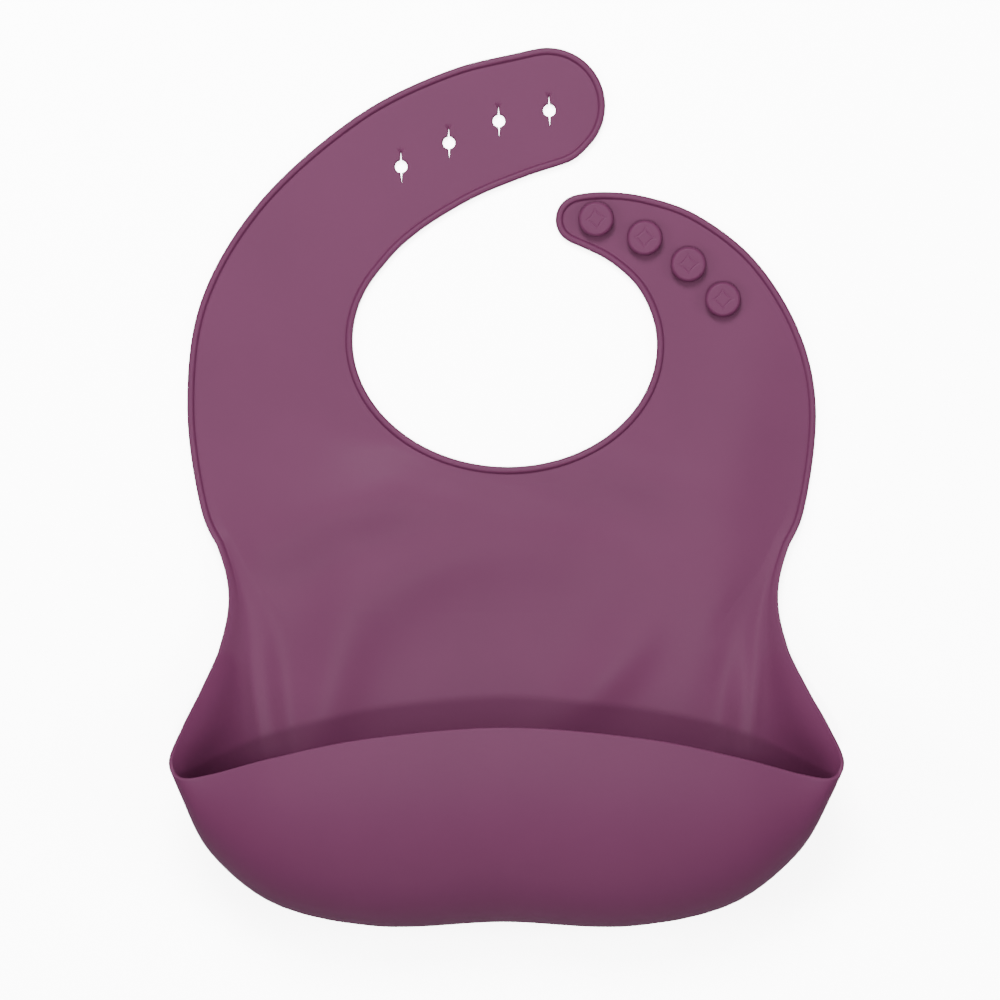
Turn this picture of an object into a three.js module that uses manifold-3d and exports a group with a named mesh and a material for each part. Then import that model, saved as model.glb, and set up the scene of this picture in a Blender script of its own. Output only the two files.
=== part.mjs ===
// Silicone baby bib with a food-catching pocket, lying flat on its back, in millimetres.
// X runs across the bib, Y runs from the pocket up to the neck straps, Z rises from the table.
// The origin is on the flat underside of the chest panel, on the centre line of the neck opening.
// The real bib is one moulding. Here it is cut along the lines where the soft sheet bends, and
// every piece between two bend lines is one body with a narrow gap to its neighbours.
import * as THREE from 'three';
import { ParametricGeometry } from 'three/addons/geometries/ParametricGeometry.js';
import { mergeVertices } from 'three/addons/utils/BufferGeometryUtils.js';
import Module from 'manifold-3d';

const wasm = await Module();
wasm.setup();

// ---- driving dimensions ----
const SHEET = 1.6;              // thickness of the flat sheet
const WALL = 1.5;               // thickness of the pocket walls
const BEAD_HEIGHT = 2.6;        // height of the raised edge above the table
const BEAD_WIDTH = 2.5;         // width of the raised edge
const BEAD_ROUND = 0.6;         // rounding of the raised edge
const STRAP_GAP = 1.2;          // gap along a strap bend line
const WAIST_GAP = 1.5;          // gap along the waist bend line
const SEAM = 0.35;              // gap between pieces that move together
const WAIST_Y = -22;            // where the pocket folds up against the chest panel
const NECK = { x: 0.2, y: 61.9, a: 53.2, b: 43.3, turn: -2.7 };   // neck opening, an ellipse
const HOLE_STRAP_END = { x: 15.1, y: 144.8, r: 20.4 };
const STUD_STRAP_END = { x: 26.7, y: 105.0, r: 8.9 };
const HOLE_DIAMETER = 4.6;
const SLIT_LENGTH = 10.3;       // from tip to tip of the two slits of a hole
const SLIT_WIDTH = 0.8;
const HOLE_TURN = 1.6;          // degrees that the slits lean over
const STUD_HEAD = 12.5;         // diameter of a stud head
const STUD_STEM = 4.4;          // diameter of a stud stem
const STUD_HEIGHT = 4.0;        // from the sheet to the top of the head
const RELIEF_WIDTH = 6.6;       // width of the sunk figure on a stud head
const RELIEF_DEPTH = 0.35;

const HOLES = [[-35.8, 123.6], [-19.2, 131.9], [-1.8, 139.5], [15.9, 143.1]];
const STUDS = [[32.1, 104.9], [49.1, 98.3], [64.3, 89.1], [76.3, 76.9]];

// Bend lines of the straps: a point on the line, its direction away from the neck in degrees,
// and how far the line reaches past that point towards the neck and away from it.
const HOLE_STRAP_BENDS = [
  { x: -81.9, y: 44.4, angle: -156.9, inner: 34, outer: 42 },
  { x: -78.5, y: 78.5, angle: 168.1, inner: 33, outer: 42 },
  { x: -58.5, y: 108.3, angle: 143.3, inner: 28, outer: 36 },
];
const STUD_STRAP_BENDS = [
  { x: 74.3, y: 12.2, angle: -25.4, inner: 45, outer: 44 },
  { x: 78.3, y: 38.8, angle: -11.5, inner: 36, outer: 44 },
  { x: 76.0, y: 62.8, angle: -4.6, inner: 34, outer: 44 },
];

// ---- colours ----
function silicone(color) {
  return new THREE.MeshStandardMaterial({ color, roughness: 0.5, metalness: 0.0 });
}

// ---- solids ----
function toSolid(geometry) {
  const plain = geometry.clone();
  for (const name of Object.keys(plain.attributes)) {
    if (name !== 'position') plain.deleteAttribute(name);
  }
  const welded = mergeVertices(plain, 1e-4);
  const mesh = new wasm.Mesh({
    numProp: 3,
    vertProperties: new Float32Array(welded.attributes.position.array),
    triVerts: new Uint32Array(welded.index.array),
  });
  const solid = new wasm.Manifold(mesh);
  if (solid.volume() >= 0) return solid;
  const flipped = new Uint32Array(welded.index.array);
  for (let i = 0; i < flipped.length; i += 3) {
    [flipped[i], flipped[i + 1]] = [flipped[i + 1], flipped[i]];
  }
  return new wasm.Manifold(new wasm.Mesh({
    numProp: 3,
    vertProperties: new Float32Array(welded.attributes.position.array),
    triVerts: flipped,
  }));
}

function toMesh(solid, name, color) {
  const result = solid.getMesh();
  const geometry = new THREE.BufferGeometry();
  geometry.setAttribute('position', new THREE.BufferAttribute(result.vertProperties, 3));
  geometry.setIndex(new THREE.BufferAttribute(result.triVerts, 1));
  geometry.computeVertexNormals();
  const mesh = new THREE.Mesh(geometry, silicone(color));
  mesh.name = name;
  return mesh;
}

// An outline extruded from one height to another.
function slab(shape, bottom, top, divisions = 10) {
  const geometry = new THREE.ExtrudeGeometry(shape, {
    depth: top - bottom, bevelEnabled: false, curveSegments: divisions,
  });
  geometry.translate(0, 0, bottom);
  return toSolid(geometry);
}

// ---- outline of the flat sheet, pocket end left straight ----
function sheetOutline() {
  const shape = new THREE.Shape();
  shape.moveTo(-96.2, -44);
  shape.lineTo(-96.2, -28);
  shape.splineThru([
    [-98.7, -14.0], [-105.4, 3.5], [-110.8, 39.9], [-105.8, 77.0], [-85.4, 111.3],
    [-52.2, 140.7], [-20.0, 156.9], [11.7, 164.9],
  ].map(([x, y]) => new THREE.Vector2(x, y)));
  const tip = HOLE_STRAP_END;
  shape.absarc(tip.x, tip.y, tip.r, THREE.MathUtils.degToRad(98), THREE.MathUtils.degToRad(-38), true);
  shape.splineThru([
    [24.5, 125.9], [16.1, 122.9], [7.7, 120.1], [-9.1, 113.3], [-24.2, 104.7], [-33.7, 97.7],
    [-38.7, 93.0],
  ].map(([x, y]) => new THREE.Vector2(x, y)));
  shape.absellipse(NECK.x, NECK.y, NECK.a, NECK.b,
    THREE.MathUtils.degToRad(145), THREE.MathUtils.degToRad(372), false,
    THREE.MathUtils.degToRad(NECK.turn));
  const end = STUD_STRAP_END;
  shape.splineThru([[49.5, 76.9], [44.8, 83.8], [36.5, 90.7], [29.7, 94.2], [23.2, 96.8]].map(
    ([x, y]) => new THREE.Vector2(x, y)));
  shape.absarc(end.x, end.y, end.r, THREE.MathUtils.degToRad(240), THREE.MathUtils.degToRad(100), true);
  shape.splineThru([
    [35.4, 114.8], [49.4, 113.1], [68.0, 106.4], [88.2, 90.3], [103.3, 65.1], [108.9, 37.8],
    [104.3, 3.5], [97.8, -14.0],
    [95.2, -28],
  ].map(([x, y]) => new THREE.Vector2(x, y)));
  shape.lineTo(95.2, -44);
  shape.closePath();
  return shape;
}

// The same outline moved inwards by a distance.
function inset(points, distance) {
  const count = points.length;
  const area = THREE.ShapeUtils.area(points);
  const sign = area > 0 ? 1 : -1;
  return points.map((point, i) => {
    const before = points[(i + count - 1) % count];
    const after = points[(i + 1) % count];
    const in1 = new THREE.Vector2().subVectors(point, before).normalize();
    const in2 = new THREE.Vector2().subVectors(after, point).normalize();
    const normal = new THREE.Vector2(-(in1.y + in2.y), in1.x + in2.x).normalize();
    const stretch = Math.max(0.5, Math.sqrt((1 + in1.dot(in2)) / 2));
    return point.clone().addScaledVector(normal, sign * distance / stretch);
  });
}

// Counter-clockwise outline without doubled points.
function distinct(points) {
  const kept = points.filter((point, i) => i === 0 || point.distanceTo(points[i - 1]) > 0.05);
  if (kept[0].distanceTo(kept[kept.length - 1]) < 0.05) kept.pop();
  return THREE.ShapeUtils.area(kept) < 0 ? kept.reverse() : kept;
}

// Flat sheet with its raised rounded edge.
function beadedSheet() {
  const edge = distinct(sheetOutline().getPoints(7));
  const ring = new THREE.Shape(edge);
  ring.holes.push(new THREE.Path(inset(edge, BEAD_WIDTH)));
  const bead = new THREE.ExtrudeGeometry(ring, {
    depth: BEAD_HEIGHT - 2 * BEAD_ROUND,
    bevelEnabled: true,
    bevelThickness: BEAD_ROUND,
    bevelSize: BEAD_ROUND,
    bevelOffset: -BEAD_ROUND,
    bevelSegments: 1,
  });
  bead.translate(0, 0, BEAD_ROUND);
  const sheet = slab(new THREE.Shape(inset(edge, 1.1)), 0, SHEET);
  return sheet.add(toSolid(bead));
}

// ---- regions between bend lines ----
function bendEnds(bend, shift) {
  const t = THREE.MathUtils.degToRad(bend.angle);
  const along = new THREE.Vector2(Math.cos(t), Math.sin(t));
  const side = new THREE.Vector2(-along.y, along.x).multiplyScalar(shift);
  const middle = new THREE.Vector2(bend.x, bend.y).add(side);
  return [
    middle.clone().addScaledVector(along, -bend.inner),
    middle.clone().addScaledVector(along, bend.outer),
  ];
}

function region(points) {
  return slab(new THREE.Shape(points), -20, 40);
}

function vectors(list) {
  return list.map(([x, y]) => new THREE.Vector2(x, y));
}

// A strap piece between bend `a` and bend `b`; towards is +1 when the strap tip lies to the left
// of the bend's direction and -1 when it lies to the right.
function between(a, b, towards) {
  const half = STRAP_GAP / 2;
  const [inA, outA] = bendEnds(a, towards * half);
  const [inB, outB] = bendEnds(b, -towards * half);
  return region([inA, outA, outB, inB]);
}

function beyond(bend, towards, rest) {
  const [inner, outer] = bendEnds(bend, towards * STRAP_GAP / 2);
  return region([inner, outer, ...vectors(rest)]);
}

// ---- slotted holes and studs ----
function slottedHole(x, y) {
  const radius = HOLE_DIAMETER / 2;
  const open = Math.asin(SLIT_WIDTH / 2 / radius);
  const shape = new THREE.Shape();
  shape.absarc(0, 0, radius, -Math.PI / 2 + open, Math.PI / 2 - open, false);
  shape.lineTo(0, SLIT_LENGTH / 2);
  shape.absarc(0, 0, radius, Math.PI / 2 + open, Math.PI * 1.5 - open, false);
  shape.lineTo(0, -SLIT_LENGTH / 2);
  shape.closePath();
  const geometry = new THREE.ExtrudeGeometry(shape, { depth: 10, bevelEnabled: false, curveSegments: 8 });
  geometry.rotateZ(THREE.MathUtils.degToRad(HOLE_TURN));
  geometry.translate(x, y, -4);
  return toSolid(geometry);
}

// Four-pointed figure with hollow sides.
function fourPointPath(half, PathClass) {
  const path = new PathClass();
  path.moveTo(half, 0);
  const pull = half * 0.3;
  path.quadraticCurveTo(pull, pull, 0, half);
  path.quadraticCurveTo(-pull, pull, -half, 0);
  path.quadraticCurveTo(-pull, -pull, 0, -half);
  path.quadraticCurveTo(pull, -pull, half, 0);
  return path;
}

function stud(index) {
  const [x, y] = STUDS[index];
  const bottom = SHEET + SEAM;
  const top = SHEET + STUD_HEIGHT;
  const head = STUD_HEAD / 2;
  const stem = STUD_STEM / 2;
  const under = top - 2.3;
  const profile = [
    [0, bottom], [stem + 0.9, bottom], [stem + 0.2, bottom + 0.5], [stem, under - 0.2], [head - 0.7, under],
    [head, under + 0.6], [head, top - 0.9], [head - 0.8, top], [0, top],
  ];
  const body = new THREE.LatheGeometry(vectors(profile), 24);
  body.rotateX(Math.PI / 2);
  const outer = fourPointPath(RELIEF_WIDTH / 2, THREE.Shape);
  outer.holes.push(fourPointPath(RELIEF_WIDTH / 2 - 0.9, THREE.Path));
  const groove = new THREE.ExtrudeGeometry(outer, { depth: 2, bevelEnabled: false, curveSegments: 6 });
  groove.translate(0, 0, top - RELIEF_DEPTH);
  return toSolid(body).subtract(toSolid(groove)).translate([x, y, 0]);
}

// ---- pocket: a shell lofted from a base curve to a rim curve ----
// Half of each curve, from the waist to the middle of the front wall: distance from the centre
// line, Y, and for the rim also Z. The bulge curve is the widest plan outline of the wall.
const BASE_HALF = [
  [89.0, -30.1], [87.2, -44.5], [85.7, -58.5], [84.3, -72.0], [81.8, -84.5], [77.6, -96.0],
  [71.0, -105.5], [58.0, -114.0], [34.0, -119.5], [0, -120.5],
];
const RIM_HALF = [
  [95.4, -28.3, 4.6], [98.2, -43.3, 9.2], [103.9, -58.2, 19.0], [109.6, -69.5, 28.4],
  [113.3, -80.5, 38.0], [109.5, -86.2, 40.3], [99.0, -85.0, 41.2], [78.0, -79.2, 45.0],
  [46.0, -72.6, 47.2], [0, -68.8, 48.2],
];
const BULGE_HALF = [
  [92.2, -29.2], [93.2, -43.9], [95.6, -58.6], [98.4, -71.5], [101.0, -85.0], [102.6, -98.5],
  [97.0, -115.2], [76.5, -130.2], [42.0, -136.4], [0, -134.9],
];
// How upright the wall leaves the base (0 leaves it level) and how level it reaches the rim.
const LEAVE = [0.33, 0.3, 0.28, 0.26, 0.18, 0.08, 0.0, 0.0, 0.0, 0.0];
const REACH = [0.67, 0.68, 0.72, 0.76, 0.86, 0.94, 0.96, 0.96, 0.96, 0.96];
const STATIONS = 2 * (BASE_HALF.length - 1);
const CORNER_STATION = 4.6;     // where a side wall ends and the front wall begins

// The pocket corners sit slightly to the right of the line through the waist and the nose.
function centreX(y) {
  return -0.35 + 1.15 * Math.exp(-(((y + 84) / 30) ** 2));
}

// Mirrors half a curve about the centre line and makes it one smooth curve.
function wholeCurve(half) {
  const left = half.map(([h, y, z = 0]) => new THREE.Vector3(centreX(y) - h, y, z));
  const right = half.slice(0, -1).reverse().map(
    ([h, y, z = 0]) => new THREE.Vector3(centreX(y) + h, y, z));
  return new THREE.CatmullRomCurve3([...left, ...right], false, 'catmullrom', 0.5);
}

const baseCurve = wholeCurve(BASE_HALF);
const rimCurve = wholeCurve(RIM_HALF);
const bulgeCurve = wholeCurve(BULGE_HALF);
const steepCurve = wholeCurve(BASE_HALF.map((_, i) => [i, LEAVE[i], REACH[i]]));

// Middle of the wall at station s (0 left waist, STATIONS right waist) and height fraction t.
function wallPoint(s, t) {
  const u = THREE.MathUtils.clamp(s / STATIONS, 0, 1);
  const base = baseCurve.getPoint(u).setZ(SHEET / 2);
  const rim = rimCurve.getPoint(u);
  const bulge = bulgeCurve.getPoint(u);
  const steep = steepCurve.getPoint(u);
  const pull = new THREE.Vector3().copy(bulge).multiplyScalar(8).sub(base).sub(rim).divideScalar(6);
  const rise = rim.z - base.z;
  const leave = new THREE.Vector3(pull.x, pull.y, base.z + rise * steep.y);
  const reach = new THREE.Vector3(pull.x, pull.y, base.z + rise * steep.z);
  return new THREE.CubicBezierCurve3(base, leave, reach, rim).getPoint(t);
}

function wallNormal(s, t) {
  const ds = 0.02;
  const dt = 0.004;
  const s0 = Math.max(0, s - ds);
  const s1 = Math.min(STATIONS, s + ds);
  const t0 = Math.max(0, t - dt);
  const t1 = Math.min(1, t + dt);
  const alongS = wallPoint(s1, t).sub(wallPoint(s0, t));
  const alongT = wallPoint(s, t1).sub(wallPoint(s, t0));
  return alongT.cross(alongS).normalize();
}

// A closed piece of wall: `span` gives the first and last station, `low` and `high` give the
// height fractions at a station.
function wallPiece(span, low, high, alongCells, acrossCells) {
  const loop = 2 * acrossCells + 2;
  const place = (u, v, target) => {
    const row = Math.round(u * (alongCells + 2));
    const s = THREE.MathUtils.lerp(span[0], span[1], THREE.MathUtils.clamp((row - 1) / alongCells, 0, 1));
    const step = Math.round(v * loop) % loop;
    const onOutside = step <= acrossCells;
    const cell = onOutside ? step : loop - 1 - step;
    const t = THREE.MathUtils.lerp(low(s), high(s), cell / acrossCells);
    const atCap = row === 0 || row === alongCells + 2;
    const offset = atCap ? 0 : (onOutside ? WALL / 2 : -WALL / 2);
    target.copy(wallPoint(s, t)).addScaledVector(wallNormal(s, t), offset);
  };
  return toSolid(new ParametricGeometry(place, alongCells + 2, loop));
}

// Height fraction of the seam between the trough and the front wall.
function seamFraction(s) {
  const middle = STATIONS / 2;
  const off = Math.abs(s - middle) / (middle - CORNER_STATION);
  return 0.7 + 0.13 * off * off;
}

const SIDE_STEP = 0.035;        // station step that leaves the seam at a pocket corner
const FRACTION_STEP = 0.004;    // height fraction that leaves the seam below the front wall

function pocketSide(first, last) {
  return wallPiece([first, last], () => 0.004, () => 1, 14, 7);
}

function pocketBottom() {
  const span = [CORNER_STATION + SIDE_STEP, STATIONS - CORNER_STATION - SIDE_STEP];
  return wallPiece(span, () => 0.004, (s) => seamFraction(s) - FRACTION_STEP, 36, 8);
}

function pocketFrontWall() {
  const span = [CORNER_STATION + SIDE_STEP, STATIONS - CORNER_STATION - SIDE_STEP];
  return wallPiece(span, (s) => seamFraction(s) + FRACTION_STEP, () => 1, 36, 5);
}

// Flat back of the pocket, inside the base curve, with a shoulder up to the waist bend.
function pocketBack(whole) {
  const curve = baseCurve.getPoints(60).map((point) => new THREE.Vector2(point.x, point.y));
  const lowered = curve.map((point) => point.clone());
  const closed = inset(lowered, SEAM + 0.15);
  const flat = slab(new THREE.Shape(closed), 0, SHEET);
  const top = WAIST_Y - WAIST_GAP / 2;
  const shoulder = whole.intersect(region(vectors([
    [-130, top], [130, top], [130, -26.4], [95.5, -27.6], [88.4, -29.5],
    [-89.2, -29.5], [-96.2, -27.6], [-130, -26.4],
  ])));
  const overlap = vectors([[-86, top - 2], [86, top - 2], [86, -34], [-86, -34]]);
  const bridge = slab(new THREE.Shape(overlap), 0, SHEET);
  return shoulder.add(bridge).add(flat);
}

// ---- pieces ----
const whole = beadedSheet();
const waistTop = WAIST_Y + WAIST_GAP / 2;
const [h1, h2, h3] = HOLE_STRAP_BENDS;
const [s1, s2, s3] = STUD_STRAP_BENDS;

function chestPanel() {
  const [inH, outH] = bendEnds(h1, STRAP_GAP / 2);
  const [inS, outS] = bendEnds(s1, -STRAP_GAP / 2);
  const area = region([
    outH, inH, inS, outS, ...vectors([[140, waistTop], [-140, waistTop]]),
  ]);
  return whole.intersect(area);
}

function holeStrapTip() {
  const area = beyond(h3, -1, [[-60, 195], [60, 195], [60, 121], [22, 117], [0, 108]]);
  let tip = whole.intersect(area);
  for (const [x, y] of HOLES) tip = tip.subtract(slottedHole(x, y));
  return tip;
}

function studStrapTip() {
  const area = beyond(s3, 1, [[125, 120], [60, 120], [22, 116.4], [5, 108], [5, 90]]);
  return whole.intersect(area);
}

const pieces = {
  chest_panel: [chestPanel(), 0x8a5b78],
  hole_strap_shoulder: [whole.intersect(between(h1, h2, -1)), 0x87586f],
  hole_strap_middle: [whole.intersect(between(h2, h3, -1)), 0x8a5b78],
  hole_strap_tip: [holeStrapTip(), 0x87586f],
  stud_strap_shoulder: [whole.intersect(between(s1, s2, 1)), 0x87586f],
  stud_strap_middle: [whole.intersect(between(s2, s3, 1)), 0x8a5b78],
  stud_strap_tip: [studStrapTip(), 0x87586f],
  stud_1: [stud(0), 0x82526f],
  stud_2: [stud(1), 0x82526f],
  stud_3: [stud(2), 0x82526f],
  stud_4: [stud(3), 0x82526f],
  pocket_back: [pocketBack(whole), 0x7d4e6c],
  pocket_side_left: [pocketSide(0, CORNER_STATION - SIDE_STEP), 0x6c3a58],
  pocket_side_right: [pocketSide(STATIONS - CORNER_STATION + SIDE_STEP, STATIONS), 0x6c3a58],
  pocket_bottom: [pocketBottom(), 0x703f5c],
  pocket_front_wall: [pocketFrontWall(), 0x7e4d6a],
};

const bib = new THREE.Group();
bib.name = 'silicone_bib';
for (const [name, [solid, color]] of Object.entries(pieces)) {
  bib.add(toMesh(solid, name, color));
}
export default bib;
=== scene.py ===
import math

import bpy
import numpy as np
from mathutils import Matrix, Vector, geometry


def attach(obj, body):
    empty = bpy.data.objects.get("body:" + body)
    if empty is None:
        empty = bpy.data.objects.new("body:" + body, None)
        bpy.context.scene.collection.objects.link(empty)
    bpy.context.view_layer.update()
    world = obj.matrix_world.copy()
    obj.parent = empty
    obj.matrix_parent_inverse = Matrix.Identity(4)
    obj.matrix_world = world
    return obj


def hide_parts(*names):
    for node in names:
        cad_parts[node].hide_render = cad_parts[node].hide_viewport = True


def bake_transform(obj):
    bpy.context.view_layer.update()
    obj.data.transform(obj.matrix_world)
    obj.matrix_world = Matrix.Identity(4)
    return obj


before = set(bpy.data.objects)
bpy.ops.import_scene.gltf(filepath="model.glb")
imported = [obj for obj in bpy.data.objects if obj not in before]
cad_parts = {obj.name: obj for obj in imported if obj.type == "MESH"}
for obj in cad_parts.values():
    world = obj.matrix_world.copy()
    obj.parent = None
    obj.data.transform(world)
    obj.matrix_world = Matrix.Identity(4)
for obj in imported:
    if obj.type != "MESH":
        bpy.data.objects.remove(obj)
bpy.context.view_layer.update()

# A silicone bib with a catching pocket, lying open on its back, in the CAD frame: X across,
# Y from the pocket up to the neck straps, Z up. Lengths below are in millimetres.
MM = 0.001

# ---- driving dimensions ----
SHEET = 1.6                     # thickness of the flat sheet
WALL = 1.5                      # thickness of the pocket's wall
HOLES = [(-35.95, 123.55), (-19.25, 131.9), (-1.8, 139.5), (15.85, 143.2)]
HOLE_RADIUS = 2.17
HOLE_TURN = 1.6                 # degrees that the slits lean over
SLIT_WIDTH = 0.56               # at the hole, tapering to nothing
SLIT_ENDS = (-5.3, 4.9)         # ends of the slits below and above the middle of a hole
STUDS = [(32.1, 104.9), (49.05, 98.35), (64.3, 89.15), (76.3, 76.9)]
STUD_TURNS = [8, -3, 4, 2]      # degrees that the figure on each stud head is turned
STUD_RADIUS = 6.25
STUD_HEIGHT = 3.9
STUD_SEGMENTS = 112
NECK = (0.25, 61.9, 53.2, 43.3)  # neck opening: middle and half axes
NECK_TURN = -2.7                # degrees
HOLE_STRAP_END = (15.1, 144.8, 20.4)    # round end of the strap with the holes: middle and radius
STUD_STRAP_END = (26.7, 105.0, 8.9)     # round end of the strap with the studs
STUD_STRAP_TIP = (18.3, 105.0)          # point of that round end nearest to the other strap

# Bend lines of the straps, from the chest outwards: a point and the direction away from the neck.
HOLE_STRAP_BENDS = [(-81.9, 44.4, -156.9), (-78.5, 78.5, 168.1), (-58.5, 108.3, 143.3)]
STUD_STRAP_BENDS = [(74.3, 12.2, -25.4), (78.3, 38.8, -11.5), (76.0, 62.8, -4.6)]
BEND_REACH = 7.5                # half the width of the strip of sheet that bends
BEND_MARGIN = 3.5               # flat sheet left between the first bend and the chest's piece
CUT_LENGTH = 56.0               # longest way from a bend's middle to the edge of the sheet
POCKET_CUT_Y = -31.5            # where the chest's piece ends and the pocket's begins

# Half of the pocket's curves, from the waist to the middle of the front wall: distance from the
# centre line and Y, and the height of the rim.
BASE_HALF = [
    (89.0, -30.1), (87.2, -44.5), (85.7, -58.5), (84.3, -72.0), (81.8, -84.5), (77.6, -96.0),
    (71.0, -105.5), (58.0, -114.0), (34.0, -119.5), (0, -120.5),
]
RIM_HALF = [
    (94.2, -28.3, 4.6), (98.0, -43.3, 9.2), (104.3, -58.2, 19.0), (109.6, -69.5, 28.4),
    (113.3, -80.5, 38.0), (109.5, -86.2, 40.3), (99.0, -85.0, 41.2), (78.0, -79.2, 45.0),
    (46.0, -72.6, 47.2), (0, -68.8, 48.2),
]
# Widest line of the wall between the base and the rim.
BULGE_HALF = [
    (92.0, -29.2), (93.2, -43.9), (95.6, -58.6), (99.2, -71.5), (105.2, -85.6), (104.6, -99.0),
    (97.4, -115.8), (76.8, -131.0), (42.3, -137.2), (0, -135.2),
]
# Heights of the two control points of the wall's bulge, as shares of the rim's height.
BULGE_LOW = [0.33, 0.3, 0.28, 0.26, 0.18, 0.08, 0.0, 0.0, 0.0, 0.0]
BULGE_HIGH = [0.67, 0.68, 0.72, 0.76, 0.86, 0.94, 0.96, 0.96, 0.96, 0.96]
STATIONS = 2 * (len(BASE_HALF) - 1)
CREASE = 4.0                    # height of the fold between the pocket's back and its sides
CREASE_SLOPE = 5.6              # how far it slopes down to the back
SHELF = 4.6                     # level strip on top of it
BACK_LENGTH = 14.1              # how much of the flat back is drawn with the wall
LIP = [0, 0.1, 0.28, 0.6, 1.2]  # distances down the wall of the lines on the rim's rounded lip
LIP_HALF = [0.42, 0.63, 0.72, WALL / 2, WALL / 2]   # half thickness at those lines

# ---- studio ----
FLOOR_SIZE = 6                  # metres
PAPER = 0.93                    # how much light the floor gives back to the object
PAPER_SEEN = 7.2                # the same floor as the camera records it, overexposed
PAPER_MIRRORED = 0.4            # how bright the floor is in the silicone's dull mirror image
PAPER_GLOW = 3.6                # even haze of the exposure over the floor
AIR = 0.02                      # light of the dark studio around the lamps
AIR_SEEN = 11.0                 # backdrop above the floor as the camera records it

# Lamps: name, place, target, width and height in metres, and power.
LAMPS = [
    ("overhead_softbox", (0, 0.05, 1.5), (0, 0, 0), 1.6, 1.6, 7),
    ("neck_side_softbox", (-0.12, 0.75, 0.95), (0, 0, 0), 0.5, 0.5, 8.4),
    ("left_softbox", (-1.2, 0, 1.0), (0, 0, 0), 0.6, 0.6, 5.2),
    ("right_softbox", (1.2, 0, 1.0), (0, 0, 0), 0.6, 0.6, 4.4),
    ("pocket_side_lamp", (-0.03, -0.292, 1.5), (0, 0, 0), 0.09, 0.09, 4.9),
    ("pocket_side_fill", (0, -1.0, 0.66), (0, -0.12, 0.02), 0.5, 0.4, 1.05),
]
CAMERA_PLACE = (-1.4 * MM, 7 * MM, 1.0)
SENSOR = 36                     # camera sensor in millimetres
VIEW_WIDTH = 0.35               # metres of the floor that the picture shows across

# ---- silicone ----
SILICONE = (0.184, 0.040, 0.116)
ROUGHNESS = 0.5
ROUGHNESS_SPREAD = 0.04
CLOUDS = {"Scale": 22.0, "Detail": 3.0, "Roughness": 0.5}       # faint drift of the colour
GRAIN = {"Scale": 900.0, "Detail": 2.0, "Roughness": 0.6}       # fine change of the gloss
PORES = {"Scale": 2600.0, "Detail": 1.0, "Roughness": 0.5}      # texture of the mould

# ---- mesh density ----
EDGE_STEP = 1.6                 # spacing along the edge of the sheet
RIM_STEP = 1.9                  # spacing along the pocket's rim
EXTRA_ROWS = 60                 # weight of the rows added where the rim turns quickly
LINES = 44                      # lines that follow the edge
GRID = 3.6                      # spacing of the inside of the sheet
JOIN_ROWS = 13                  # rows on each side of the waist that are smoothed together
JOIN_ROUNDS = 60

# Soft waves of the sheet: centre x and y, direction in degrees, length, width, height.
WAVES = [
    (-64, -22, 16, 123, 33, 2.3), (-50, -14, 22, 48, 12, -1.7), (-5, 15, -18, 90, 11, -2.0),
    (50, 15, -20, 27, 10, 1.5), (-51, -40, 54, 84, 22, 1.7), (-63, -68, 78, 82, 15, 2.4),
    (36, -54, 45, 37, 13, 2.3), (-26, -1, -6, 105, 26, 2.4), (74, -38, -22, 18, 41, 2.4),
    (-61, 4, 28, 90, 14, 1.5), (48, -32, 66, 54, 21, 2.2), (-36, -4, 5, 43, 12, -1.3),
    (77, 3, 78, 93, 22, 2.3),
]


# ---- curves ----
def catmull(points, per_span):
    """Smooth open curve through the points, with its end points kept."""
    p = np.array(points, float)
    p = np.vstack([2 * p[0] - p[1], p, 2 * p[-1] - p[-2]])
    out = []
    for i in range(1, len(p) - 2):
        for t in np.arange(per_span) / per_span:
            out.append(catmull_at(p[i - 1:i + 3], t))
    out.append(p[-2])
    return np.array(out)


def catmull_at(p, t):
    """Point of the Catmull-Rom curve between the second and the third of four points."""
    a = 2 * p[1]
    b = p[2] - p[0]
    c = 2 * p[0] - 5 * p[1] + 4 * p[2] - p[3]
    d = -p[0] + 3 * p[1] - 3 * p[2] + p[3]
    return 0.5 * (a + b * t + c * t * t + d * t ** 3)


def arc(cx, cy, rx, ry, first, last, count, turn=0):
    """Points on an ellipse from one angle to another, the ellipse itself turned about its middle."""
    t = np.radians(np.linspace(first, last, count))
    u, v = rx * np.cos(t), ry * np.sin(t)
    c, s = math.cos(math.radians(turn)), math.sin(math.radians(turn))
    return np.stack([cx + u * c - v * s, cy + u * s + v * c], 1)


def resample(points, step):
    """The same open curve with even spacing, as near to step as fits."""
    length = travel_along(points)
    count = max(2, int(round(length[-1] / step)) + 1)
    at = np.linspace(0, length[-1], count)
    return np.stack([np.interp(at, length, points[:, k]) for k in range(points.shape[1])], 1)


def relax(points, rounds):
    """Smooths a row of points, whose ends stay."""
    p = points.copy()
    for _ in range(rounds):
        p[1:-1] = 0.5 * p[1:-1] + 0.25 * (p[:-2] + p[2:])
    return p


def right_normals(points):
    """Unit normals to the right of an open curve."""
    along = np.gradient(points, axis=0)
    along /= np.linalg.norm(along, axis=1)[:, None]
    return np.stack([along[:, 1], -along[:, 0]], 1)


def travel_along(points):
    """Distance travelled along a curve at each of its points."""
    return np.concatenate([[0], np.cumsum(np.linalg.norm(np.diff(points, axis=0), axis=1))])


def smoothstep(x, low, high):
    t = np.clip((x - low) / (high - low), 0, 1)
    return t * t * (3 - 2 * t)


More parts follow.
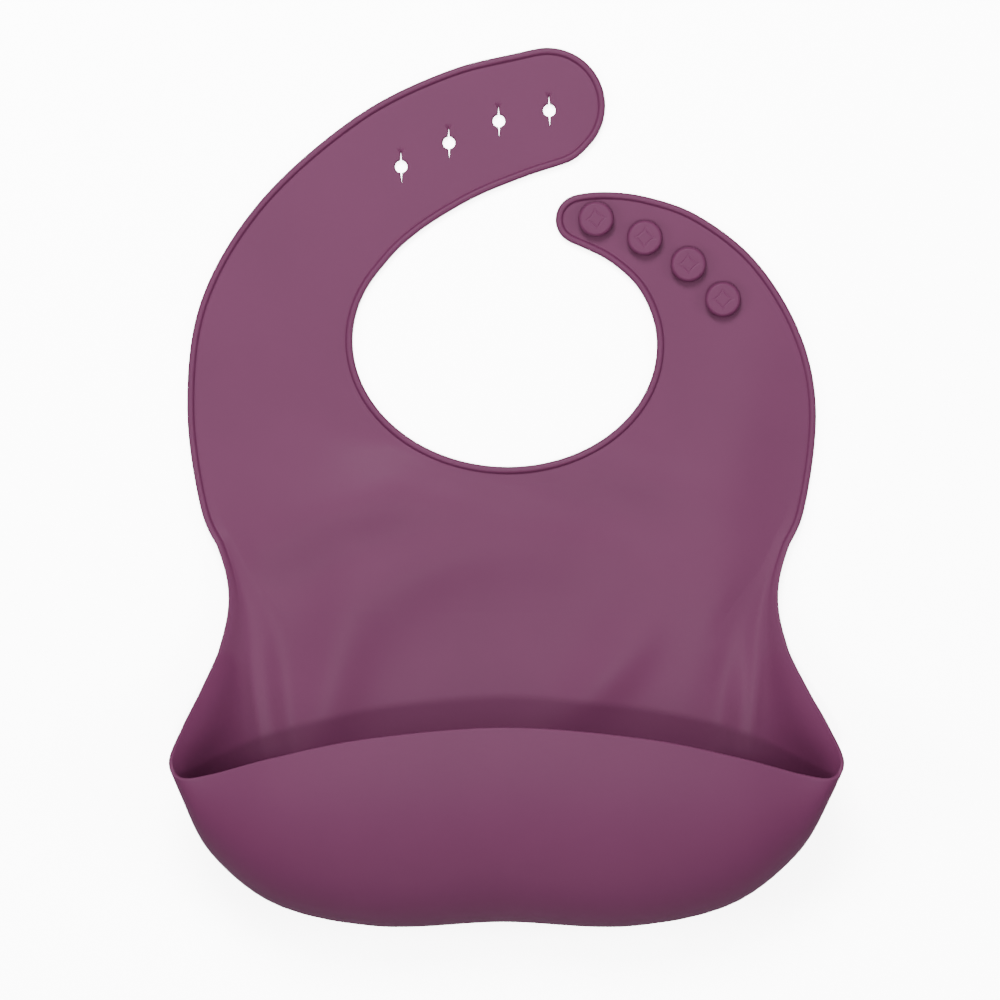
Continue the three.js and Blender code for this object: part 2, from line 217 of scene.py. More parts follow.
# ---- flat sheet ----
def sheet_edge():
    """Edge of the flat sheet from the left waist over both straps to the right waist."""
    rows = [
        catmull([(-93.6, -30), (-97.4, -14.0), (-105.8, 3.5), (-110.8, 39.9), (-105.8, 77.0),
                 (-85.4, 111.3), (-52.2, 140.7), (-20.0, 156.9), (9.5, 164.4)], 24),
        arc(*HOLE_STRAP_END, HOLE_STRAP_END[2], 100, -38, 56)[1:],
        catmull([(31.2, 132.2), (24.5, 125.9), (16.1, 122.9), (7.7, 120.1), (-9.1, 113.3),
                 (-24.2, 104.7), (-33.7, 97.7), (-38.7, 93.0)], 24)[1:],
        arc(*NECK, 145, 372, 160, NECK_TURN)[1:],
        catmull([(52.4, 69.6), (49.5, 76.9), (44.8, 83.8), (36.5, 90.7), (29.7, 94.2),
                 (22.2, 97.4)], 24)[1:],
        arc(*STUD_STRAP_END, STUD_STRAP_END[2], 240, 100, 30)[1:],
        catmull([(25.2, 113.9), (35.4, 114.7), (49.4, 113.1), (68.0, 106.4), (88.2, 90.3),
                 (103.5, 65.1), (109.1, 37.8), (104.9, 3.5), (97.0, -14.0), (93.4, -30)], 24)[1:],
    ]
    return relax(resample(np.vstack(rows), 0.4), 40)


def waves(x, y):
    """Height that the soft sheet is lifted by its gentle waves."""
    z = np.zeros_like(x)
    for cx, cy, turn, length, width, height in WAVES:
        t = math.radians(turn)
        u = (x - cx) * math.cos(t) + (y - cy) * math.sin(t)
        v = -(x - cx) * math.sin(t) + (y - cy) * math.cos(t)
        z += height * np.exp(-(u / length) ** 2 * 2 - (v / width) ** 2 * 2)
    return z


# Section through the raised edge: distance inwards, height of the top, height of the underside.
EDGE_SECTION = np.array([
    (0.00, 1.35, 1.10), (0.10, 1.85, 0.62), (0.30, 2.26, 0.25), (0.62, 2.50, 0.06), (1.05, 2.62, 0),
    (1.50, 2.62, 0), (1.85, 2.54, 0), (2.10, 2.38, 0), (2.28, 2.10, 0), (2.44, 1.78, 0),
    (2.62, 1.57, 0), (2.86, 1.56, 0), (3.10, 1.60, 0),
])


EDGE_BAND = 6.3                 # width of the band of lines that follow the edge
BEAD_FADE = (-26, 2)            # the bead grows between these Y, from the waist upwards
CURL_FADE = (-30, 12)           # the edge curls up below the waist and flattens between these Y
CURL_HEIGHT = 3.4
CURL_WIDTH = 6.0


def edge_lines():
    """Distances inwards of the lines that follow the edge of the sheet."""
    rest = LINES + 1 - len(EDGE_SECTION)
    inner = np.linspace(EDGE_SECTION[-1, 0], EDGE_BAND, rest + 1)[1:]
    return np.concatenate([EDGE_SECTION[:, 0], inner])


def sheet_strip(edge):
    """Top and underside points along the edge of the flat sheet, one row per edge point."""
    inward = right_normals(edge)
    lines = edge_lines()
    top_z = np.interp(lines, EDGE_SECTION[:, 0], EDGE_SECTION[:, 1])
    low_z = np.interp(lines, EDGE_SECTION[:, 0], EDGE_SECTION[:, 2])
    plan = edge[:, None, :] + lines[None, :, None] * inward[:, None, :]
    lift = waves(plan[..., 0], plan[..., 1])
    fade = smoothstep(plan[:, :1, 1], *BEAD_FADE)
    beaded = top_z[None, :] * fade + (np.minimum(top_z, SHEET)[None, :]) * (1 - fade)
    curl = (1 - smoothstep(edge[:, 1], *CURL_FADE))[:, None] * CURL_HEIGHT
    curl = curl * np.clip(1 - lines[None, :] / CURL_WIDTH, 0, 1) ** 1.4
    top = np.dstack([plan, beaded + lift + curl])
    low = np.dstack([plan, np.broadcast_to(low_z, top.shape[:2]) + lift + curl])
    return top, low


# ---- pocket ----
def centre_x(y):
    """Centre line of the pocket, which bows slightly to the right."""
    return -0.35 + 1.15 * np.exp(-((y + 84) / 30) ** 2)


def whole_curve(half):
    """The left half of a curve and its mirror image as one row of points."""
    left = [(centre_x(p[1]) - p[0], *p[1:]) for p in half]
    right = [(centre_x(p[1]) + p[0], *p[1:]) for p in half[:-1]][::-1]
    return np.array(left + right, float)


def curve_at(points, s):
    """Point of the smooth curve at a station, where whole stations are the given points."""
    i = int(min(max(math.floor(s), 0), len(points) - 2))
    padded = np.vstack([2 * points[0] - points[1], points, 2 * points[-1] - points[-2]])
    return catmull_at(padded[i:i + 4], s - i)


BASE = whole_curve(BASE_HALF)
RIM = whole_curve(RIM_HALF)
BULGE = whole_curve(BULGE_HALF)
HALF_SHARES = [*zip(BULGE_LOW, BULGE_HIGH)]
BULGE_SHARES = np.array(HALF_SHARES + HALF_SHARES[:-1][::-1])


def crease_height(s):
    """How far the fold between the pocket's back and a side wall stands up at a station."""
    from_waist = min(s, STATIONS - s)
    return CREASE * smoothstep(from_waist, -0.4, 2.4) * (1 - smoothstep(from_waist, 3.7, 5.0))


def wall_profile(s):
    """Middle of the pocket wall at a station, from the rim down to the base and on into the flat
    back, with even spacing."""
    base = curve_at(BASE, s)
    rim = curve_at(RIM, s)
    bulge = curve_at(BULGE, s)
    low_share, high_share = curve_at(BULGE_SHARES, s)
    ahead = curve_at(BASE, min(s + 0.05, STATIONS)) - curve_at(BASE, max(s - 0.05, 0))
    inward = np.array([-ahead[1], ahead[0]]) / np.linalg.norm(ahead)
    ground = SHEET / 2
    pull = (8 * bulge - base - rim[:2]) / 6
    rise = rim[2] - ground
    p0 = np.array([*base, ground])
    p1 = np.array([*pull, ground + rise * low_share])
    p2 = np.array([*pull, ground + rise * high_share])
    t = np.linspace(1, 0, 240)[:, None]
    wall = p0 * (1 - t) ** 3 + 3 * p1 * t * (1 - t) ** 2 + 3 * p2 * t * t * (1 - t) + rim * t ** 3
    inner = np.arange(0.4, BACK_LENGTH, 0.4)
    flat = np.array([[*(base + inward * d), ground] for d in inner])
    crest = crease_height(s)
    # The side wall starts with a narrow level shelf on top of the fold.
    outward = np.linalg.norm(wall[:, :2] - base, axis=1)
    share = (wall[:, 2] - ground) / rise
    shelf = 1 - crest / CREASE * (1 - smoothstep(outward, 0, SHELF))
    wall[:, 2] = ground + rise * share * shelf + crest * (1 - share)
    flat[:, 2] += crest * np.exp(-(np.maximum(inner - 1.2, 0) / CREASE_SLOPE) ** 2)
    path = resample(np.vstack([wall, flat]), 0.25)
    return relax(path, 34)


def pocket_strip(stations):
    """Top (inside) and underside (outside) points of the pocket wall, one row per station."""
    rows = []
    for s in stations:
        path = wall_profile(s)
        length = travel_along(path)
        rest = np.linspace(0, 1, LINES + 1 - len(LIP) + 1)[1:]
        at = np.concatenate([LIP, LIP[-1] + (length[-1] - LIP[-1]) * rest])
        rows.append(np.stack([np.interp(at, length, path[:, k]) for k in range(3)], 1))
    middle = np.array(rows)
    flatness = 1 - smoothstep(middle[..., 2], 2.0, 9.0)
    middle[..., 2] += waves(middle[..., 0], middle[..., 1]) * flatness
    along = np.gradient(middle, axis=0)
    across = np.gradient(middle, axis=1)
    normal = np.cross(across, along)
    normal /= np.linalg.norm(normal, axis=2)[..., None]
    if normal[len(normal) // 2, -1, 2] < 0:
        normal = -normal
    half = np.full(LINES + 1, WALL / 2)
    half[:len(LIP)] = LIP_HALF
    half[-8:] = np.linspace(WALL / 2, SHEET / 2, 8)     # the wall grows into the sheet
    offset = normal * half[None, :, None]
    return middle + offset, middle - offset


# ---- one surface for the whole moulding ----
def whole_strip():
    """The strip along the whole edge as closed rows of points: sheet first, then the pocket."""
    edge = resample(sheet_edge(), EDGE_STEP)
    keep = edge[:, 1] > -27.0
    edge = edge[np.argmax(keep):len(keep) - np.argmax(keep[::-1])]
    sheet_top, sheet_low = sheet_strip(edge)
    fine = np.linspace(0.0, STATIONS, 900)
    rim = np.array([curve_at(RIM, s) for s in fine])
    weight = travel_along(rim) + EXTRA_ROWS * (fine / STATIONS)
    count = int(round(weight[-1] / RIM_STEP))
    stations = np.interp(np.linspace(0, weight[-1], count), weight, fine)[::-1]
    pocket_top, pocket_low = pocket_strip(stations)
    top = np.vstack([sheet_top, pocket_top])
    low = np.vstack([sheet_low, pocket_low])
    return soften_join(top, low, len(edge))


def soften_join(top, low, sheet_rows):
    """Blends the sheet's edge into the gusset over some rows on both sides of each waist."""
    for centre in (sheet_rows, 0):
        ids = np.arange(centre - JOIN_ROWS, centre + JOIN_ROWS) % len(top)
        for points in (top, low):
            points[ids] = relax(points[ids], JOIN_ROUNDS)
    return top, low, sheet_rows


def inside(points, polygon):
    """Which points lie inside a closed polygon."""
    x, y = points[:, 0], points[:, 1]
    odd = np.zeros(len(points), bool)
    ax, ay = polygon[:, 0], polygon[:, 1]
    bx, by = np.roll(ax, -1), np.roll(ay, -1)
    for x0, y0, x1, y1 in zip(ax, ay, bx, by):
        if y0 == y1:
            continue
        crosses = (y0 > y) != (y1 > y)
        odd ^= crosses & (x < (x1 - x0) * (y - y0) / (y1 - y0) + x0)
    return odd


def far_from(points, line, distance):
    """Which points are at least a distance from every point of a line."""
    keep = np.ones(len(points), bool)
    for start in range(0, len(points), 400):
        block = points[start:start + 400]
        gap = np.linalg.norm(block[:, None, :] - line[None, :, :], axis=2).min(axis=1)
        keep[start:start + 400] = gap >= distance
    return keep


# ---- slotted holes ----
HOLE_LINES = [0, 0.12, 0.3, 0.55, 0.85]     # distances outwards of the rings round a hole
HOLE_DROP = [0.55, 0.22, 0.06, 0, 0, 0]     # how far the rounded edge has sunk at each ring
HOLE_COLLAR = (3.5, 6.8)                # half axes of the oval outer ring
DOT = (5.15, 0.42, 0.8)                 # sunk dot above a hole: height above the middle, size, depth


def half_outline():
    """Right half of a hole round its own middle, from the lower slit's end to the upper one's."""
    gap = math.degrees(math.asin(SLIT_WIDTH / 2 / HOLE_RADIUS))
    shoulder = HOLE_RADIUS * math.cos(math.radians(gap))
    lower = np.linspace((0.03, SLIT_ENDS[0]), (SLIT_WIDTH / 2, -shoulder), 10)
    upper = np.linspace((SLIT_WIDTH / 2, shoulder), (0.03, SLIT_ENDS[1]), 10)
    round_part = arc(0, 0, HOLE_RADIUS, HOLE_RADIUS, gap - 90, 90 - gap, 22)[1:-1]
    return np.vstack([lower, round_part, upper])


def hole_rings(x, y):
    """Rings round a hole, from its edge to an oval collar: plan points and how far each has sunk."""
    half = half_outline()
    along = travel_along(half)
    turn = np.radians(np.linspace(-87, 87, 200))
    oval = np.stack([HOLE_COLLAR[0] * np.cos(turn), HOLE_COLLAR[1] * np.sin(turn)], 1)
    travel = travel_along(oval)
    share = along / along[-1] * travel[-1]
    collar = np.stack([np.interp(share, travel, oval[:, k]) for k in (0, 1)], 1)
    mirror = (-1, 1)
    edge = np.vstack([half, half[::-1] * mirror])
    target = np.vstack([collar, collar[::-1] * mirror])
    reach = np.linalg.norm(target - edge, axis=1)[:, None]
    t = math.radians(HOLE_TURN)
    lean = np.array([[math.cos(t), math.sin(t)], [-math.sin(t), math.cos(t)]])
    rings = []
    for distance, drop in zip([*HOLE_LINES, None], HOLE_DROP):
        plan = target if distance is None else edge + (target - edge) / reach * distance
        dot = DOT[2] * np.exp(-((np.linalg.norm(plan - (0, DOT[0]), axis=1) / DOT[1]) ** 2))
        rings.append((plan @ lean + (x, y), drop + dot * (distance is not None)))
    return rings


# ---- surface builder ----
class Surface:
    """Points with a top and an underside, faces of each, and a piece name for every face."""

    def __init__(self):
        self.top, self.low = [], []
        self.faces, self.walls = [], []
        self.count = 0

    def add(self, top, low):
        first = self.count
        self.top.append(np.asarray(top, float).reshape(-1, 3))
        self.low.append(np.asarray(low, float).reshape(-1, 3))
        self.count += len(self.top[-1])
        return first


def cut_rows(strip_top, sheet_rows):
    """Rows of the strip where the moulding is divided into pieces. Each cut is a
    pair of rows, the outer edge's and the neck edge's."""
    edge = strip_top[:sheet_rows, 0, :2]
    tip_row = int(np.argmax(edge[:, 0] * 0.3 + edge[:, 1]))
    end_row = int(np.argmin(np.linalg.norm(edge - STUD_STRAP_TIP, axis=1)))

    def crossing(bend, shift, rows):
        x, y, angle = bend
        t = math.radians(angle)
        normal = np.array([-math.sin(t), math.cos(t)])
        away = (edge[rows] - (x, y)) @ normal - shift
        reach = np.linalg.norm(edge[rows] - (x, y), axis=1)
        return int(rows[np.argmin(np.abs(away) + 1000 * (reach > CUT_LENGTH))])

    outer_left = np.arange(0, tip_row)
    neck_left = np.arange(tip_row, (tip_row + end_row) // 2)
    neck_right = np.arange((tip_row + end_row) // 2, end_row)
    outer_right = np.arange(end_row, sheet_rows)
    cuts = {}
    for name, bends, outer, neck, away in (
        ("hole", HOLE_STRAP_BENDS, outer_left, neck_left, -1),
        ("stud", STUD_STRAP_BENDS, outer_right, neck_right, 1),
    ):
        chest_shift = -away * (BEND_REACH + BEND_MARGIN)
        outs = [crossing(bend, 0, outer) for bend in bends]
        ins = [crossing(bend, 0, neck) for bend in bends]
        first = (crossing(bends[0], chest_shift, outer), crossing(bends[0], chest_shift, neck))
        between = [((outs[i] + outs[i + 1]) // 2, (ins[i] + ins[i + 1]) // 2) for i in (0, 1)]
        cuts[name] = [first, *between]
    return cuts


def build_surface():
    """The whole moulding as one surface, with the name of its piece for every face."""
    strip_top, strip_low, sheet_rows = whole_strip()
    rows = len(strip_top)
    surface = Surface()
    surface.add(strip_top, strip_low)
    lines = LINES + 1
    cuts = cut_rows(strip_top, sheet_rows)
    left_row = rows - 1 - int(np.argmax(strip_top[::-1, 0, 1] < POCKET_CUT_Y))
    right_row = sheet_rows + int(np.argmax(strip_top[sheet_rows:, 0, 1] < POCKET_CUT_Y))
    piece_of_row = np.full(rows, "", object)
    (h0, n0), (h1, n1), (h2, n2) = cuts["hole"]
    (s0, m0), (s1, m1), (s2, m2) = cuts["stud"]
    marks = [
        (h0, "chest"), (h1, "hole_shoulder"), (h2, "hole_middle"), (n2, "hole_tip"),
        (n1, "hole_middle"), (n0, "hole_shoulder"), (m0, "chest"), (m1, "stud_shoulder"),
        (m2, "stud_middle"), (s2, "stud_tip"), (s1, "stud_middle"), (s0, "stud_shoulder"),
        (right_row, "chest"), (left_row, "pocket"), (rows, "chest"),
    ]
    start = 0
    for stop, name in marks:
        piece_of_row[start:stop] = name
        start = stop
    for i in range(rows):
        j = (i + 1) % rows
        for k in range(LINES):
            quad = (i * lines + k, j * lines + k, j * lines + k + 1, i * lines + k + 1)
            surface.faces.append((quad, piece_of_row[i]))
        surface.walls.append(((i * lines, j * lines), piece_of_row[i]))
    ring = strip_top[:, -1, :2]
    ring_ids = np.arange(rows) * lines + LINES
    fill_inside(surface, ring, ring_ids, [*cuts["hole"], *cuts["stud"], (left_row, right_row)])
    return surface


def add_hole(surface, x, y):
    """Adds the rings of a slotted hole. Returns the outermost ring's plan and its first point."""
    rings = hole_rings(x, y)
    size = len(rings[0][0])
    previous = None
    for (plan, sunk), drop in zip(rings, HOLE_DROP):
        lift = waves(plan[:, 0], plan[:, 1])
        top = np.column_stack([plan, SHEET - sunk + lift])
        low = np.column_stack([plan, drop + lift])
        number = surface.add(top, low)
        for i in range(size):
            j = (i + 1) % size
            if previous is None:
                surface.walls.append(((number + j, number + i), "hole_tip"))
            else:
                quad = (previous + i, number + i, number + j, previous + j)
                surface.faces.append((quad, "hole_tip"))
        previous = number
    return rings[-1][0], previous


def grid_inside(ring, hole_polygons, fixed):
    """Evenly spread points inside the ring and outside the holes, clear of the fixed points."""
    low, high = ring.min(axis=0), ring.max(axis=0)
    across = np.arange(low[0], high[0], GRID)
    up = np.arange(low[1], high[1], GRID * 0.866)
    gx, gy = np.meshgrid(across, up)
    gx = gx + (np.arange(gx.shape[0]) % 2)[:, None] * GRID / 2
    grid = np.column_stack([gx.ravel(), gy.ravel()])
    grid = grid[inside(grid, ring)]
    for polygon in hole_polygons:
        grid = grid[~inside(grid, polygon)]
    return grid[far_from(grid, fixed, GRID * 0.55)]


def fill_inside(surface, ring, ring_ids, cuts):
    """Triangles inside the innermost line of the strip, divided along straight cuts."""
    points, ids = [*ring], [*ring_ids]
    count = len(ring)
    edges = [(i, (i + 1) % count) for i in range(count)]
    cut_lines = []
    for pair in cuts:
        a, b = ring[pair[0]], ring[pair[1]]
        steps = max(2, int(round(np.linalg.norm(b - a) / GRID)))
        middle = [a + (b - a) * t / steps for t in range(1, steps)]
        chain = [pair[0], *range(len(points), len(points) + len(middle)), pair[1]]
        points += middle
        ids += [None] * len(middle)
        edges += list(zip(chain[:-1], chain[1:]))
        cut_lines.append((a, b))
    hole_polygons = []
    for x, y in HOLES:
        polygon, first = add_hole(surface, x, y)
        start, size = len(points), len(polygon)
        points += [*polygon]
        ids += [first + i for i in range(size)]
        edges += [(start + i, start + (i + 1) % size) for i in range(size)]
        hole_polygons.append(polygon)
    grid = grid_inside(ring, hole_polygons, np.array(points))
    points += [*grid]
    ids += [None] * len(grid)
    plan = np.array(points)
    made = geometry.delaunay_2d_cdt([Vector(p) for p in plan], edges, [], 0, 1e-6)
    out, triangles, origin = made[0], made[2], made[3]
    number = []
    for p, source in zip(out, origin):
        known = [ids[k] for k in source if ids[k] is not None]
        if known:
            number.append(known[0])
            continue
        lift = float(waves(np.array([p.x]), np.array([p.y]))[0])
        number.append(surface.add((p.x, p.y, SHEET + lift), (p.x, p.y, lift)))
    out = np.array([tuple(p) for p in out])
    centres = np.array([out[list(t)].mean(axis=0) for t in triangles])
    wanted = inside(centres, ring)
    for polygon in hole_polygons:
        wanted &= ~inside(centres, polygon)
    names = name_inside(centres, cut_lines)
    for t, keep, name in zip(triangles, wanted, names):
        if not keep:
            continue
        a, b, c = (out[k] for k in t)
        turn = (b[0] - a[0]) * (c[1] - a[1]) - (b[1] - a[1]) * (c[0] - a[0])
        order = t if turn < 0 else t[::-1]
        surface.faces.append((tuple(number[k] for k in order), name))


def name_inside(centres, cut_lines):
    """Piece name of each triangle from the side of the cuts that its centre lies on."""
    def beyond(line, towards):
        a, b = line
        along = b - a
        side = (centres[:, 0] - a[0]) * -along[1] + (centres[:, 1] - a[1]) * along[0]
        target = (towards[0] - a[0]) * -along[1] + (towards[1] - a[1]) * along[0]
        return side * target > 0

    hole0, hole1, hole2, stud0, stud1, stud2, waist = cut_lines
    names = np.full(len(centres), "chest", object)
    names[beyond(waist, (0, -100))] = "pocket"
    # This line passes between the two straps' ends.
    left = (centres[:, 0] < -20) | (centres[:, 1] > 0.22 * centres[:, 0] + 108.5)
    right = ~left & (centres[:, 0] > 10)
    names[left & beyond(hole0, (-80, 78))] = "hole_shoulder"
    names[left & beyond(hole1, (-70, 100)) & (centres[:, 1] > 50)] = "hole_middle"
    names[left & beyond(hole2, (-30, 125)) & (centres[:, 1] > 80)] = "hole_tip"
    names[right & beyond(stud0, (80, 38))] = "stud_shoulder"
    names[right & beyond(stud1, (80, 60)) & (centres[:, 1] > 20)] = "stud_middle"
    names[right & beyond(stud2, (60, 90)) & (centres[:, 1] > 40)] = "stud_tip"
    return names


def mesh_object(name, points, faces, material):
    """A smooth mesh from points in millimetres."""
    mesh = bpy.data.meshes.new(name)
    mesh.from_pydata((np.array(points) * MM).tolist(), [], faces)
    mesh.update()
    mesh.shade_smooth()
    made = bpy.data.objects.new(name, mesh)
    bpy.context.scene.collection.objects.link(made)
    made.data.materials.append(material)
    return made


def piece_mesh(surface, name, object_name, material):
    """One closed mesh of the faces with that piece name: top, underside, edge and cut faces."""
    top = np.vstack(surface.top)
    low = np.vstack(surface.low)
    total = len(top)
    faces = [f for f, n in surface.faces if n == name]
    solid = faces + [tuple(v + total for v in reversed(f)) for f in faces]
    edge_use = dict.fromkeys(pair for f in faces for pair in zip(f, f[1:] + f[:1]))
    rims = {pair for pair, n in surface.walls if n == name}
    sharp = set()
    for a, b in edge_use:
        if (b, a) in edge_use:
            continue
        solid.append((b, a, a + total, b + total))
        if (a, b) not in rims and (b, a) not in rims:
            sharp |= {frozenset((a, b)), frozenset((a + total, b + total))}
            sharp |= {frozenset((a, a + total)), frozenset((b, b + total))}
    used = sorted({v for f in solid for v in f})
    index = {v: i for i, v in enumerate(used)}
    points = np.vstack([top, low])[used]
    made = mesh_object(object_name, points, [tuple(index[v] for v in f) for f in solid], material)
    mesh = made.data
    marks = {frozenset(index[v] for v in pair) for pair in sharp}
    flags = [frozenset(e.vertices) in marks for e in mesh.edges]
    attribute = mesh.attributes.new("sharp_edge", "BOOLEAN", "EDGE")
    attribute.data.foreach_set("value", flags)
    return made


# ---- studs ----
HEAD_RINGS = 34                 # rings across the flat of a stud's head
HEAD_FLAT = 4.9                 # radius of that flat
CROWN = 0.02                    # how much the flat is crowned
GROOVE = (0.16, 0.2)            # depth and width of the groove that draws the figure
FIGURE_HALF = 3.75              # from the figure's middle to its points
FIGURE_POWER = 0.69             # below 1 its sides are hollow
# Radius and depth below the head's top, from the rounded rim round to the stem, then radius and
# height above the sheet where the stem flares out into it.
HEAD_SECTION = [
    (5.12, 0.02), (5.3, 0.08), (5.6, 0.28), (5.86, 0.52), (5.97, 0.78), (STUD_RADIUS, 1.1),
    (5.97, 1.5), (5.8, 1.85), (5.45, 2.05), (4.6, 2.2), (3.2, 2.3), (2.5, 2.5), (2.25, 2.9),
]
STEM_SECTION = [(2.3, 0.9), (2.6, 0.4), (3.3, 0.12), (4.2, 0.02), (4.4, -0.3)]


def figure_distance(x, y):
    """Signed distance, roughly, from a four-pointed figure with hollow sides."""
    u, v = np.abs(x / FIGURE_HALF), np.abs(y / FIGURE_HALF)
    r = (u ** FIGURE_POWER + v ** FIGURE_POWER) ** (1 / FIGURE_POWER)
    return (r - 1) * FIGURE_HALF * 0.5


def stud_mesh(number, material):
    """A stud as rings round its axis, from the middle of its head down into the sheet."""
    cx, cy = STUDS[number]
    turn = math.radians(STUD_TURNS[number])
    top = SHEET + STUD_HEIGHT
    flat = np.linspace(0.12, HEAD_FLAT, HEAD_RINGS)
    rings = [(r, top + CROWN * (1 - (r / 5) ** 2)) for r in flat]
    rings += [(r, top - depth) for r, depth in HEAD_SECTION]
    rings += [(r, SHEET + height) for r, height in STEM_SECTION]
    angle = np.arange(STUD_SEGMENTS) * 2 * math.pi / STUD_SEGMENTS
    lift = float(waves(np.array([cx]), np.array([cy]))[0])
    points = [(cx, cy, top + CROWN + lift)]
    for i, (r, z) in enumerate(rings):
        x, y = r * np.cos(angle), r * np.sin(angle)
        height = np.full(STUD_SEGMENTS, z)
        if i < HEAD_RINGS:
            u = x * math.cos(turn) + y * math.sin(turn)
            v = -x * math.sin(turn) + y * math.cos(turn)
            height -= GROOVE[0] * np.exp(-(figure_distance(u, v) / GROOVE[1]) ** 2)
        points += [(cx + a, cy + b, c + lift) for a, b, c in zip(x, y, height)]
    points.append((cx, cy, SHEET + STEM_SECTION[-1][1] + lift))
    around = [(i, (i + 1) % STUD_SEGMENTS) for i in range(STUD_SEGMENTS)]
    faces = [(0, 1 + i, 1 + j) for i, j in around]
    for ring in range(len(rings) - 1):
        a = 1 + ring * STUD_SEGMENTS
        b = a + STUD_SEGMENTS
        faces += [(a + i, b + i, b + j, a + j) for i, j in around]
    last = 1 + (len(rings) - 1) * STUD_SEGMENTS
    faces += [(last + j, last + i, len(points) - 1) for i, j in around]
    return mesh_object(f"stud_{number + 1}_soft", points, faces, material)


# ---- materials ----
def noise(tree, place, settings):
    """Noise texture in the object's own space."""
    made = tree.nodes.new("ShaderNodeTexNoise")
    for key, value in settings.items():
        made.inputs[key].default_value = value
    tree.links.new(place.outputs["Object"], made.inputs["Vector"])
    return made


def silicone(name):
    """Dull coloured silicone with a faintly uneven tone and gloss and a fine mould texture."""
    material = bpy.data.materials.new(name)
    material.use_nodes = True
    tree = material.node_tree
    shader = tree.nodes["Principled BSDF"]
    shader.inputs["IOR"].default_value = 1.41
    shader.inputs["Specular IOR Level"].default_value = 0.4
    place = tree.nodes.new("ShaderNodeTexCoord")
    cloud = noise(tree, place, CLOUDS)
    grain = noise(tree, place, GRAIN)
    pores = noise(tree, place, PORES)
    tone = tree.nodes.new("ShaderNodeValToRGB")
    dark = [c * 0.975 for c in SILICONE]
    light = [c * 1.02 for c in SILICONE]
    tone.color_ramp.elements[0].position = 0.35
    tone.color_ramp.elements[0].color = (*dark, 1)
    tone.color_ramp.elements[1].position = 0.65
    tone.color_ramp.elements[1].color = (*light, 1)
    tree.links.new(cloud.outputs["Fac"], tone.inputs["Fac"])
    tree.links.new(tone.outputs["Color"], shader.inputs["Base Color"])
    spread = tree.nodes.new("ShaderNodeMapRange")
    spread.inputs["To Min"].default_value = ROUGHNESS - ROUGHNESS_SPREAD
    spread.inputs["To Max"].default_value = ROUGHNESS + ROUGHNESS_SPREAD
    tree.links.new(grain.outputs["Fac"], spread.inputs["Value"])
    tree.links.new(spread.outputs["Result"], shader.inputs["Roughness"])
    bump = tree.nodes.new("ShaderNodeBump")
    bump.inputs["Strength"].default_value = 0.12
    bump.inputs["Distance"].default_value = 0.00008
    tree.links.new(pores.outputs["Fac"], bump.inputs["Height"])
    tree.links.new(bump.outputs["Normal"], shader.inputs["Normal"])
    return material


def add_straps(surface, skin):
    """Three pieces for each strap, cut from the whole surface in place of the strap's parts from
    model.glb.
    """
    for strap, bends, away in (("hole", HOLE_STRAP_BENDS, -1), ("stud", STUD_STRAP_BENDS, 1)):
        for i, part in enumerate(["shoulder", "middle", "tip"]):
            made = piece_mesh(surface, f"{strap}_{part}", f"{strap}_strap_{part}_soft", skin)
            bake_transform(made)
            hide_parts(f"{strap}_strap_{part}")


def add_chest(surface, skin):
    """The chest, which folds into the pocket at the waist."""
    chest = piece_mesh(surface, "chest", "chest_soft", skin)
    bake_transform(chest)
    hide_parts("chest_panel")


def add_pocket(surface, skin):
    """The pocket, as one piece in place of its parts from model.glb."""
    pocket = piece_mesh(surface, "pocket", "pocket_soft", skin)
    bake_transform(pocket)
    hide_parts("pocket_back", "pocket_side_left", "pocket_side_right", "pocket_bottom",
                "pocket_front_wall")


def add_studs(skin):
    """The four studs, which ride on the end of their strap."""
    for number in range(len(STUDS)):
        stud = stud_mesh(number, skin)
        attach(stud, "stud_strap_end")
        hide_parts(f"stud_{number + 1}")


# ---- floor, light and camera ----
def seen_and_lit(tree, seen, lit, output):
    """Shows one shader to the camera and lights the object with the other, as an overexposed
    backdrop does."""
    path = tree.nodes.new("ShaderNodeLightPath")
    mix = tree.nodes.new("ShaderNodeMixShader")
    tree.links.new(path.outputs["Is Camera Ray"], mix.inputs["Fac"])
    tree.links.new(lit.outputs[0], mix.inputs[1])
    tree.links.new(seen.outputs[0], mix.inputs[2])
    tree.links.new(mix.outputs[0], output.inputs["Surface"])


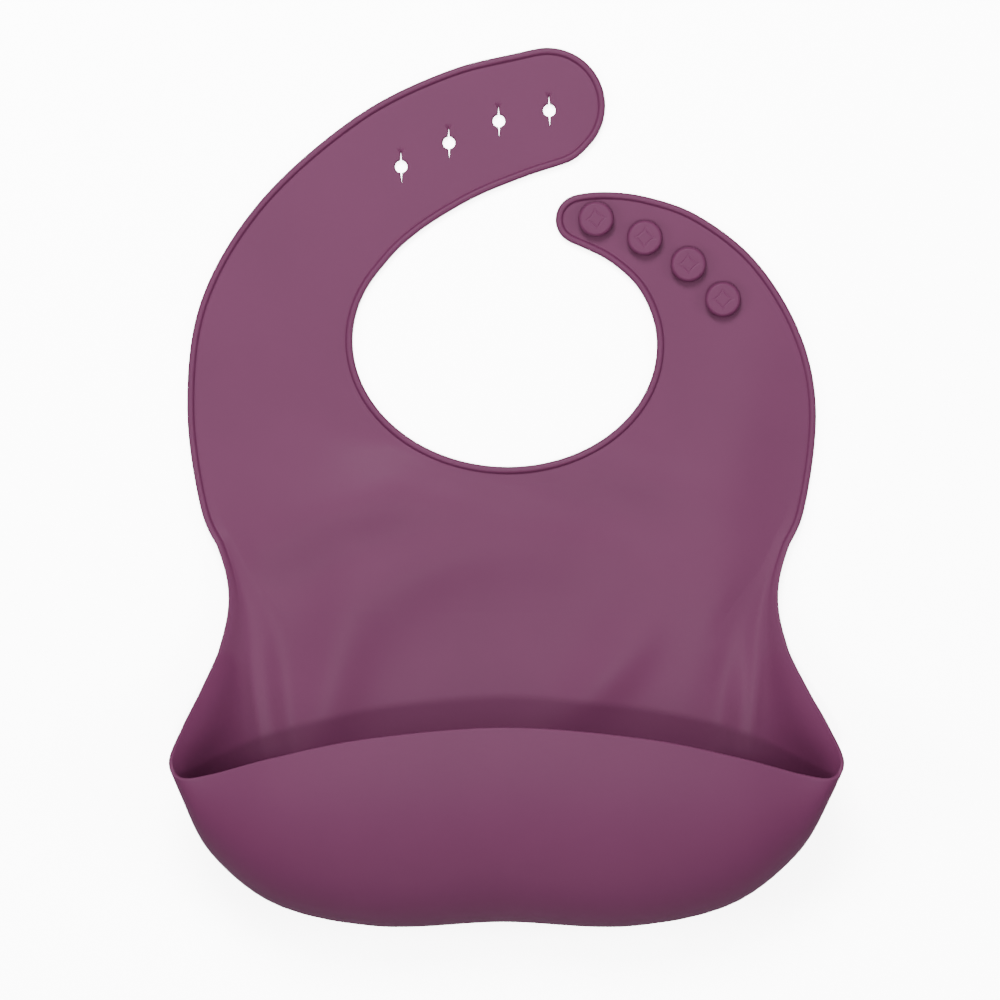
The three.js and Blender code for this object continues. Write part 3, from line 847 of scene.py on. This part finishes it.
def add_floor():
    """Plain pale floor, as bright to the camera as an overexposed backdrop."""
    bpy.ops.mesh.primitive_plane_add(size=FLOOR_SIZE, location=(0, 0, -0.0004))
    floor = bpy.context.object
    floor.name = "floor"
    paper = bpy.data.materials.new("floor_paper")
    paper.use_nodes = True
    tree = paper.node_tree
    bright = tree.nodes.new("ShaderNodeBsdfDiffuse")
    bright.inputs["Color"].default_value = (PAPER_SEEN, PAPER_SEEN, PAPER_SEEN, 1)
    glow = tree.nodes.new("ShaderNodeEmission")
    glow.inputs["Strength"].default_value = PAPER_GLOW
    exposed = tree.nodes.new("ShaderNodeAddShader")
    tree.links.new(bright.outputs[0], exposed.inputs[0])
    tree.links.new(glow.outputs[0], exposed.inputs[1])
    shaded = tree.nodes["Principled BSDF"]
    shaded.inputs["Roughness"].default_value = 0.8
    shaded.inputs["Specular IOR Level"].default_value = 0.1
    path = tree.nodes.new("ShaderNodeLightPath")
    tone = tree.nodes.new("ShaderNodeMapRange")
    tone.inputs["To Min"].default_value = PAPER
    tone.inputs["To Max"].default_value = PAPER_MIRRORED
    tree.links.new(path.outputs["Is Glossy Ray"], tone.inputs["Value"])
    tree.links.new(tone.outputs["Result"], shaded.inputs["Base Color"])
    seen_and_lit(tree, exposed, shaded, tree.nodes["Material Output"])
    floor.data.materials.append(paper)


def add_area(name, place, target, width, height, power):
    """Rectangular lamp that faces its target."""
    light = bpy.data.lights.new(name, "AREA")
    light.shape = "RECTANGLE"
    light.size, light.size_y = width, height
    light.energy = power
    made = bpy.data.objects.new(name, light)
    made.location = place
    made.rotation_mode = "QUATERNION"
    made.rotation_quaternion = (Vector(target) - Vector(place)).to_track_quat("-Z", "Y")
    bpy.context.scene.collection.objects.link(made)


def add_lights():
    for lamp in LAMPS:
        add_area(*lamp)


def add_air():
    """Dark studio round the lamps, which the camera sees as an overexposed backdrop."""
    world = bpy.data.worlds.new("studio_air")
    bpy.context.scene.world = world
    world.use_nodes = True
    tree = world.node_tree
    background = tree.nodes["Background"]
    background.inputs["Color"].default_value = (1, 1, 1, 1)
    background.inputs["Strength"].default_value = AIR
    bright = tree.nodes.new("ShaderNodeBackground")
    bright.inputs["Color"].default_value = (1, 1, 1, 1)
    bright.inputs["Strength"].default_value = AIR_SEEN
    seen_and_lit(tree, bright, background, tree.nodes["World Output"])


def add_camera():
    """Camera that looks straight down on the bib."""
    camera = bpy.data.cameras.new("camera")
    made = bpy.data.objects.new("camera", camera)
    made.location = CAMERA_PLACE
    made.rotation_euler = (0, 0, 0)
    camera.sensor_width = SENSOR
    camera.lens = SENSOR * CAMERA_PLACE[2] / VIEW_WIDTH
    camera.clip_start, camera.clip_end = 0.05, 20
    bpy.context.scene.collection.objects.link(made)
    bpy.context.scene.camera = made


whole_bib = build_surface()
silicone_skin = silicone("silicone_skin")
add_straps(whole_bib, silicone_skin)
add_chest(whole_bib, silicone_skin)
add_pocket(whole_bib, silicone_skin)
add_studs(silicone_skin)
add_floor()
add_lights()
add_air()
add_camera()
